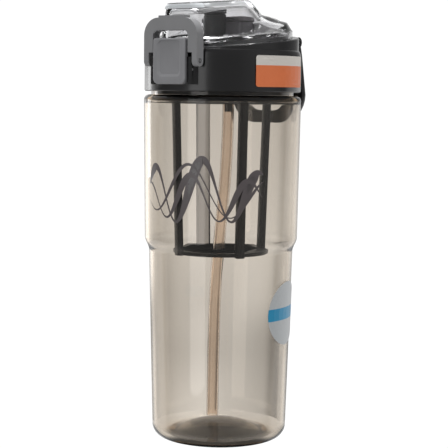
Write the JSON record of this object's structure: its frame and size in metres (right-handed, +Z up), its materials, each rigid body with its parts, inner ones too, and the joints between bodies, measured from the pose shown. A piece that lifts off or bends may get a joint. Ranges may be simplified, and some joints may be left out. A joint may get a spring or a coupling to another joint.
{
  "type": "plastic drink bottle",
  "caption": "Clear smoke-tinted drink bottle with a dark screw lid, a latched flip cover over its spout, a carry loop, a straw and a ribbed tea infuser",
  "frame": {"origin": "centre of the cup's foot ring, on the plane that the bottle stands on", "axes": "+Z up along the cup's axis, the latch button and lock ring face -Y, the hinge and carry loop are at +Y"},
  "size_m": [0.0902, 0.101, 0.2524],
  "materials": {
    "smoke_clear": "clear moulded copolyester with a warm smoke tint, polished",
    "cover_clear": "clear moulded plastic, polished",
    "lid_charcoal": "moulded polypropylene, satin",
    "liner_charcoal": "moulded polypropylene, smooth",
    "loop_charcoal": "moulded polypropylene, satin",
    "ring_grey": "moulded plastic, fine satin",
    "button_grey": "moulded plastic, fine satin",
    "vent_grey": "moulded plastic, satin",
    "vent_dark": "moulded plastic, satin",
    "spout_black": "moulded plastic, smooth",
    "silicone_black": "soft silicone, matte",
    "silicone_grey": "soft silicone, matte",
    "straw_amber": "translucent extruded tube",
    "infuser_charcoal": "smooth moulded plastic",
    "steel_pins": "bright stainless wire and pins",
    "collar_label": "printed film, bare two-tone",
    "round_label": "printed film, bare with a plain band"
  },
  "bodies": {
    "cup": {"cup_body": "smoke_clear", "cup_label": "round_label"},
    "seal": {"neck_gasket": "silicone_grey"},
    "lid": {"lid_shell": "lid_charcoal", "lid_liner": "liner_charcoal", "vent_valve": "silicone_grey", "spout_tube": "spout_black", "vent_housing": "vent_grey", "vent_cap": "vent_dark", "straw": "straw_amber", "hinge_pin": "steel_pins", "cover_spring": "steel_pins", "button_pin": "steel_pins", "button_spring": "steel_pins", "ring_pin_left": "steel_pins", "ring_pin_right": "steel_pins", "collar_label": "collar_label"},
    "cover": {"flip_cover": "cover_clear", "spout_stopper": "silicone_black"},
    "ring": {"lock_ring": "ring_grey"},
    "button": {"latch_button": "button_grey"},
    "loop": {"carry_loop": "loop_charcoal"},
    "infuser": {"infuser_frame": "infuser_charcoal", "infuser_plate": "infuser_charcoal"}
  },
  "joints": [
    {"name": "lid_lift", "type": "slide", "parent": "cup", "child": "seal", "axis": [0, 0, 1], "range_m": [0, 0.0076]},
    {"name": "lid_turn", "type": "hinge", "parent": "seal", "child": "lid", "pos_m": [0, 0, 0.2125], "axis": [0, 0, 1], "range_deg": [0, 450]},
    {"name": "cover_open", "type": "hinge", "parent": "lid", "child": "cover", "pos_m": [0, 0.0473, 0.2289], "axis": [-1, 0, 0], "range_deg": [0, 110]},
    {"name": "ring_swing", "type": "hinge", "parent": "lid", "child": "ring", "pos_m": [0, -0.0461, 0.216], "axis": [1, 0, 0], "range_deg": [0, 115]},
    {"name": "button_press", "type": "hinge", "parent": "lid", "child": "button", "pos_m": [0, -0.047, 0.2114], "axis": [1, 0, 0], "range_deg": [0, 7], "stiffness_Nm_per_rad": 0.05, "springref_deg": -5.73},
    {"name": "loop_swing", "type": "hinge", "parent": "lid", "child": "loop", "pos_m": [0, 0.0473, 0.2289], "axis": [1, 0, 0], "range_deg": [0, 95]},
    {"name": "infuser_pull", "type": "slide", "parent": "lid", "child": "infuser", "axis": [0, 0, -1], "range_m": [0, 0.02]}
  ],
  "couplings": [
    {"joint": "lid_lift", "follows": "lid_turn", "m_per_rad": 0.00095493}
  ]
}
